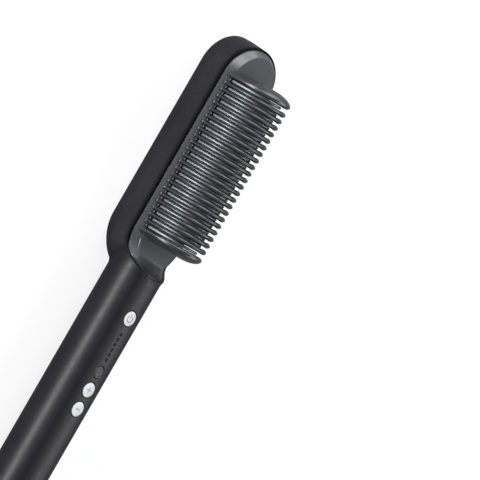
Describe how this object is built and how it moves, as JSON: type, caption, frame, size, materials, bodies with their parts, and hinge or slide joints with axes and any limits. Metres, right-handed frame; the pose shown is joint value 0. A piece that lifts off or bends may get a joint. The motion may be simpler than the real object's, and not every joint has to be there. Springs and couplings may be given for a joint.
{
  "type": "hair straightener",
  "caption": "Heated straightening comb: a long rounded head with guarded hot fins, and a round handle with a row of buttons and a swivelling cord outlet.",
  "frame": {"origin": "bottom centre of the whole object's box, on the surface that its back lies on", "axes": "+Y runs from the cord outlet to the head's round top, +Z points out of the back the way the fins stand, X goes across"},
  "size_m": [0.045, 0.29, 0.0455],
  "materials": {
    "body": "fine matte black",
    "bezel": "satin dark grey",
    "guards": "satin slate, heat resistant",
    "hot_fins": "satin, blue grey coating",
    "ceramic": "fired white",
    "mica": "sheet",
    "steel": "pressed sheet",
    "screws": "zinc plated",
    "sensor_glass": "bead",
    "fuse_case": "plain",
    "tray": "moulded, heat resistant",
    "cover": "moulded",
    "ring": "metallic pink to magenta",
    "panel": "deep gloss black",
    "carrier": "moulded",
    "board": "solder mask",
    "pale_button": "satin off-white",
    "lock_button": "matte, moulded ring",
    "plunger": "moulded",
    "switch": "tinned frame",
    "light_guide": "clear",
    "lamps": "lamp lens",
    "chip": "package",
    "film_case": "moulded case",
    "can": "sleeved can",
    "fuse_glass": "glass tube with caps",
    "lead_white": "silicone sleeve",
    "lead_red": "silicone sleeve",
    "lead_mains": "insulated wire",
    "swivel": "moulded, satin",
    "tail_cap": "fine matte black",
    "retainer": "moulded"
  },
  "bodies": {
    "grip": {"body_shell": "body", "front_bezel": "bezel", "guard_comb": "guards", "heater_comb": "hot_fins", "ceramic_heater": "ceramic", "mica_insulator": "mica", "heater_clamp": "steel", "clamp_screws": "screws", "temperature_sensor": "sensor_glass", "thermal_fuse": "fuse_case", "heater_tray": "tray", "tray_screws": "screws", "rear_cover": "cover", "rear_ring": "ring", "rear_panel": "panel", "cover_screws": "screws", "board_tray": "carrier", "control_board": "board", "board_screws": "screws", "tact_switches": "switch", "light_guide": "light_guide", "indicator_lamps": "lamps", "controller_chip": "chip", "triac": "chip", "film_capacitor": "film_case", "smoothing_capacitor": "can", "line_fuse": "fuse_glass", "heater_leads": "lead_white", "sensor_leads": "lead_red", "mains_leads": "lead_mains", "tail_cap": "tail_cap", "swivel_retainer": "retainer", "retainer_screws": "screws"},
    "power_key": {"power_button": "pale_button", "power_plunger": "plunger"},
    "lock_key": {"lock_button": "lock_button", "lock_plunger": "plunger"},
    "plus_key": {"plus_button": "pale_button", "plus_plunger": "plunger"},
    "minus_key": {"minus_button": "pale_button", "minus_plunger": "plunger"},
    "swivel": {"cord_swivel": "swivel"}
  },
  "joints": [
    {"name": "power_press", "type": "slide", "parent": "grip", "child": "power_key", "axis": [0, 0, -1], "range_m": [0, 0.00035], "stiffness_N_per_m": 2500, "springref_m": -0.0003},
    {"name": "lock_press", "type": "slide", "parent": "grip", "child": "lock_key", "axis": [0, 0, -1], "range_m": [0, 0.00035], "stiffness_N_per_m": 2500, "springref_m": -0.0003},
    {"name": "plus_press", "type": "slide", "parent": "grip", "child": "plus_key", "axis": [0, 0, -1], "range_m": [0, 0.00035], "stiffness_N_per_m": 2500, "springref_m": -0.0003},
    {"name": "minus_press", "type": "slide", "parent": "grip", "child": "minus_key", "axis": [0, 0, -1], "range_m": [0, 0.00035], "stiffness_N_per_m": 2500, "springref_m": -0.0003},
    {"name": "swivel_turn", "type": "hinge", "parent": "grip", "child": "swivel", "pos_m": [0, -0.139, 0.0152], "axis": [0, 1, 0], "continuous": true}
  ]
}
